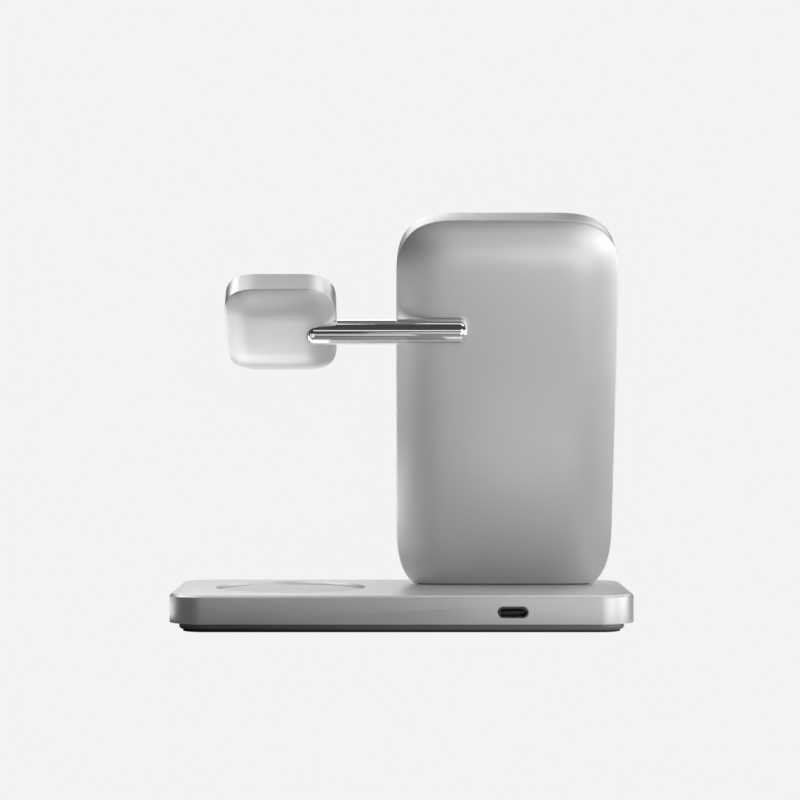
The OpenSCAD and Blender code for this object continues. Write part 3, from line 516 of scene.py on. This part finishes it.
# the floor's glow strengths below are painted light: the paper emits it for every ray but the camera's
studio = {"paper": 0.896, "bounce": 0.15, "paperRough": 0.9, "paperShine": 0.1, "floorSize": 6.0,
          "paintedGlow": 0.32, "paintedGlowFrom": 0.05, "paintedGlowTo": -0.09, "dim": 0.056}
floorPaper = bpy.data.materials.new("floorPaper")
floorPaper.use_nodes = True
nodes, links = floorPaper.node_tree.nodes, floorPaper.node_tree.links
paper = nodes["Principled BSDF"]
paper.inputs["Base Color"].default_value = (studio["bounce"],) * 3 + (1,)
paper.inputs["Roughness"].default_value = studio["paperRough"]
paper.inputs["Specular IOR Level"].default_value = studio["paperShine"]
glow = nodes.new("ShaderNodeEmission")
glow.inputs["Color"].default_value = (1, 1, 1, 1)
glow.inputs["Strength"].default_value = studio["paper"]
rayKind = nodes.new("ShaderNodeLightPath")
mix = nodes.new("ShaderNodeMixShader")
place = nodes.new("ShaderNodeTexCoord")
axes = nodes.new("ShaderNodeSeparateXYZ")
paintedGlow = nodes.new("ShaderNodeMapRange")  # painted glow: the paper gives off light the camera never sees directly, stronger towards the power socket's side
paintedGlow.inputs["From Min"].default_value = studio["paintedGlowFrom"]
paintedGlow.inputs["From Max"].default_value = studio["paintedGlowTo"]
paintedGlow.inputs["To Min"].default_value = 0
paintedGlow.inputs["To Max"].default_value = studio["paintedGlow"]
# emission that paints a glow on the floor, seen only in reflections and as light on the stand
paintedGlowShader = nodes.new("ShaderNodeEmission")
paintedGlowShader.inputs["Color"].default_value = (1, 1, 1, 1)
both = nodes.new("ShaderNodeAddShader")
links.new(place.outputs["Object"], axes.inputs["Vector"])
links.new(axes.outputs["X"], paintedGlow.inputs["Value"])
links.new(paintedGlow.outputs["Result"], paintedGlowShader.inputs["Strength"])
links.new(paper.outputs["BSDF"], both.inputs[0])
links.new(paintedGlowShader.outputs["Emission"], both.inputs[1])
links.new(rayKind.outputs["Is Camera Ray"], mix.inputs["Fac"])
links.new(both.outputs["Shader"], mix.inputs[1])
links.new(glow.outputs["Emission"], mix.inputs[2])
links.new(mix.outputs["Shader"], nodes["Material Output"].inputs["Surface"])
freshStart()
bpy.ops.mesh.primitive_plane_add(size=studio["floorSize"], location=(0, 0, 0))
floor = bpy.context.object
floor.name = "studioFloor"
floor.data.materials.append(floorPaper)

room = bpy.data.worlds.new("studioRoom")
scene.world = room
room.use_nodes = True
nodes, links = room.node_tree.nodes, room.node_tree.links
back = nodes["Background"]
rayKind = nodes.new("ShaderNodeLightPath")
wall = nodes.new("ShaderNodeBackground")
mix = nodes.new("ShaderNodeMixShader")
for light in (back, wall):
    light.inputs["Color"].default_value = (1, 1, 1, 1)
wall.inputs["Strength"].default_value = studio["paper"]
back.inputs["Strength"].default_value = studio["dim"]
links.new(rayKind.outputs["Is Camera Ray"], mix.inputs["Fac"])
links.new(back.outputs["Background"], mix.inputs[1])
links.new(wall.outputs["Background"], mix.inputs[2])
links.new(mix.outputs["Shader"], nodes["World Output"].inputs["Surface"])

# a program that fitted the lights to the photograph wrote most of this list
softBoxes = [  # name, place, aimed at, width, height, power
    ("farRightCard", (-0.11, 0.32, 0.002), (-0.11, 0.32, 1.0), 0.1, 0.14, 0.1721),
    ("cardFarBackLeft", (0.2, -0.1, 0.003), (0.2, -0.1, 1.0), 0.12, 0.16, 0.17),
    ("leftHigh", (0.685, -0.184, 0.614), (0.0, 0.0, 0.06), 0.46, 0.46, 1.7418),
    ("cardBehindBlock", (0.04, -0.12, 0.003), (0.04, -0.12, 1.0), 0.12, 0.1, 0.048),
    ("rightSide", (-0.34, 0.05, 0.08), (0.0, 0.0, 0.06), 0.2, 0.16, 0.2286),
    ("highBack", (0.184, -0.685, 0.614), (0.0, 0.0, 0.06), 0.46, 0.46, 1.2564),
    ("highBackRight", (-0.501, -0.501, 0.614), (0.0, 0.0, 0.06), 0.46, 0.46, 1.1336),
    ("frontRight", (-0.446, 0.772, 0.185), (0.0, 0.0, 0.06), 0.46, 0.46, 1.087),
    ("cardAtBlock", (0.105, -0.01, 0.003), (0.105, -0.01, 1.0), 0.05, 0.06, 0.0153),
    ("rightFront", (-0.34, 0.3, 0.08), (0.0, 0.0, 0.06), 0.2, 0.16, 0.1611),
    ("cardUnderBlock", (0.068, -0.005, 0.016), (0.068, -0.005, 1.0), 0.026, 0.032, 0.0035),
    ("highFront", (0.317, 0.183, 0.882), (0.0, 0.0, 0.06), 0.46, 0.46, 0.7154),
    ("cardBelowBlock", (0.04, -0.005, 0.016), (0.04, -0.005, 1.0), 0.026, 0.032, 0.0027),
    ("farCard", (-0.045, 0.52, 0.002), (-0.045, 0.52, 1.0), 0.05, 0.2, 0.0317),
    ("overheadLeft", (0.3, -0.02, 0.6), (0.3, -0.02, 0.0), 0.3, 0.4, 0.2),
    ("overheadRight", (-0.3, -0.02, 0.6), (-0.3, -0.02, 0.0), 0.3, 0.4, 0.3268),
    ("frontMiddle", (0.0, 0.6, 0.2), (0.0, 0.0, 0.08), 0.5, 0.1, 0.1312),
    ("farMiddleCard", (0.0, 0.52, 0.002), (0.0, 0.52, 1.0), 0.05, 0.2, 0.0244),
    ("cardByBlock", (0.056, 0.075, 0.05), (0.037, 0.02, 0.092), 0.035, 0.045, 0.0036),
    ("lowBack", (0.0, -0.891, 0.185), (0.0, 0.0, 0.06), 0.46, 0.46, 0.4402),
    ("cardBesideBlock", (0.09, 0.05, 0.05), (0.037, 0.02, 0.092), 0.04, 0.05, 0.0037),
    ("nearRightCard", (-0.045, 0.08, 0.002), (-0.045, 0.08, 1.0), 0.05, 0.06, 0.0048),
    ("cardBelowArm", (0.04, 0.028, 0.016), (0.04, 0.028, 1.0), 0.026, 0.032, 0.0013),
    ("cardFrontOfStand", (0.05, 0.2, 0.003), (0.05, 0.2, 1.0), 0.12, 0.12, 0.0189),
    ("overhead", (0.0, -0.02, 0.6), (0.0, -0.02, 0.0), 0.3, 0.4, 0.05),
    ("overheadEdge", (-0.17, 0.07, 0.43), (-0.05, 0.033, 0.011), 0.14, 0.3, 0.2),
    ("cardUnderArm", (0.037, 0.04, 0.018), (0.037, 0.04, 1.0), 0.08, 0.09, 0.0021)]
for name, spot, target, width, height, power in softBoxes:
    light = bpy.data.lights.new(name, "AREA")
    light.shape = "RECTANGLE"
    light.size, light.size_y = width, height
    light.energy = power
    lamp = bpy.data.objects.new(name, light)
    scene.collection.objects.link(lamp)
    lamp.location = spot
    lamp.rotation_euler = (Vector(target) - Vector(spot)).to_track_quat("-Z", "Y").to_euler()
    lamp.visible_camera = False

view = {"place": (0.00049, 0.7726, 0.0705), "lens": 110.25, "sensor": 36}
lensData = bpy.data.cameras.new("camera")
lensData.lens = view["lens"]
lensData.sensor_width = view["sensor"]
camera = bpy.data.objects.new("camera", lensData)
scene.collection.objects.link(camera)
camera.location = view["place"]
camera.rotation_euler = (pi / 2, 0, pi)
scene.camera = camera
scene.view_settings.view_transform = "Standard"
print("studio ready")
